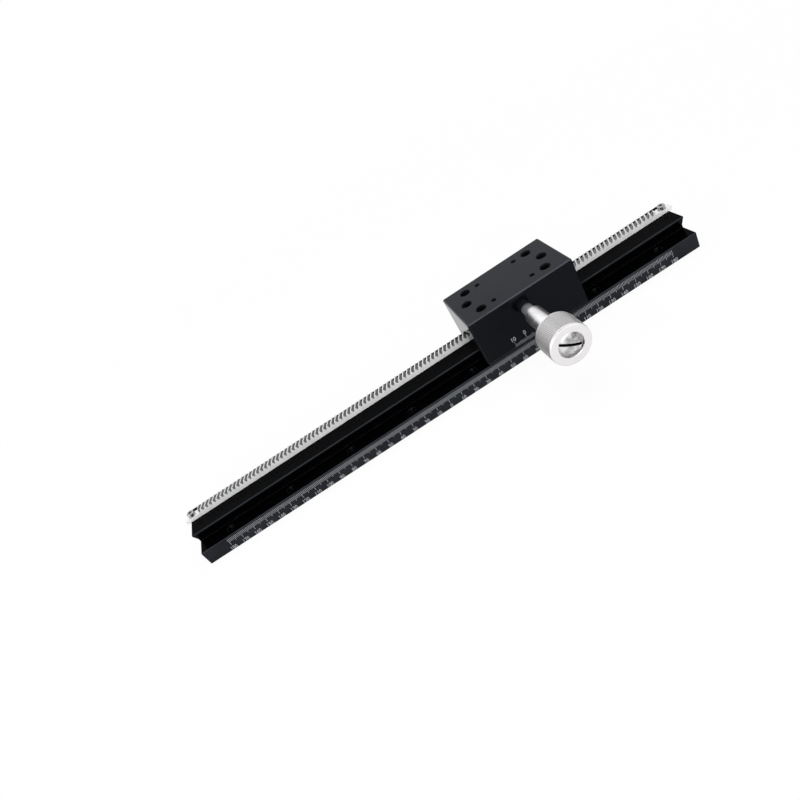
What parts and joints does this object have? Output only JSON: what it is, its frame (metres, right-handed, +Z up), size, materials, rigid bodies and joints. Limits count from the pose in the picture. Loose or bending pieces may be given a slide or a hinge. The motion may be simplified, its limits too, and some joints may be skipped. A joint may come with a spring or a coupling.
{
  "type": "linear translation stage",
  "caption": "Dovetail rail with a helical rack and a millimetre scale; a carriage with tapped table holes is driven along it by a pinion on a knurled knob.",
  "frame": {"origin": "middle of the rail's flat underside", "axes": "+X along the rail, +Y away from the knob, +Z up"},
  "size_m": [0.406, 0.11, 0.048],
  "materials": {
    "rail_anodised": "black anodised, satin",
    "carriage_anodised": "black anodised, satin",
    "rack_steel": "cut teeth, bright",
    "gear_steel": "cut teeth, oiled",
    "shaft_steel": "ground",
    "screw_steel": "turned, bright",
    "dark_screw_steel": "black oxide",
    "spring_steel": "tempered",
    "gib_brass": "milled",
    "bearing_bronze": "turned, oiled",
    "knob_metal": "turned, with a diamond knurl"
  },
  "bodies": {
    "rail": {"rail": "rail_anodised", "rack": "rack_steel", "rack_screws": "screw_steel", "rack_dowels": "screw_steel"},
    "carriage": {"carriage_block": "carriage_anodised", "gib_strip": "gib_brass", "gib_screws": "dark_screw_steel", "front_bush": "bearing_bronze", "front_thrust_washer": "bearing_bronze", "rear_bush": "bearing_bronze", "rear_thrust_washer": "bearing_bronze", "disc_spring": "spring_steel", "bearing_cap": "carriage_anodised", "bearing_cap_screws": "dark_screw_steel"},
    "drive": {"pinion_shaft": "shaft_steel", "pinion": "gear_steel", "pinion_key": "shaft_steel", "retaining_ring": "spring_steel", "knob": "knob_metal", "knob_key": "shaft_steel", "knob_screw": "screw_steel"}
  },
  "joints": [
    {"name": "carriage_slide", "type": "slide", "parent": "rail", "child": "carriage", "axis": [1, 0, 0], "range_m": [-0.2355, 0.0845]},
    {"name": "knob_turn", "type": "hinge", "parent": "carriage", "child": "drive", "pos_m": [0.0755, 0, 0.034], "axis": [0, 1, 0], "range_deg": [-1812, 650.5]}
  ],
  "couplings": [
    {"joint": "knob_turn", "follows": "carriage_slide", "rad_per_m": 134.24}
  ]
}
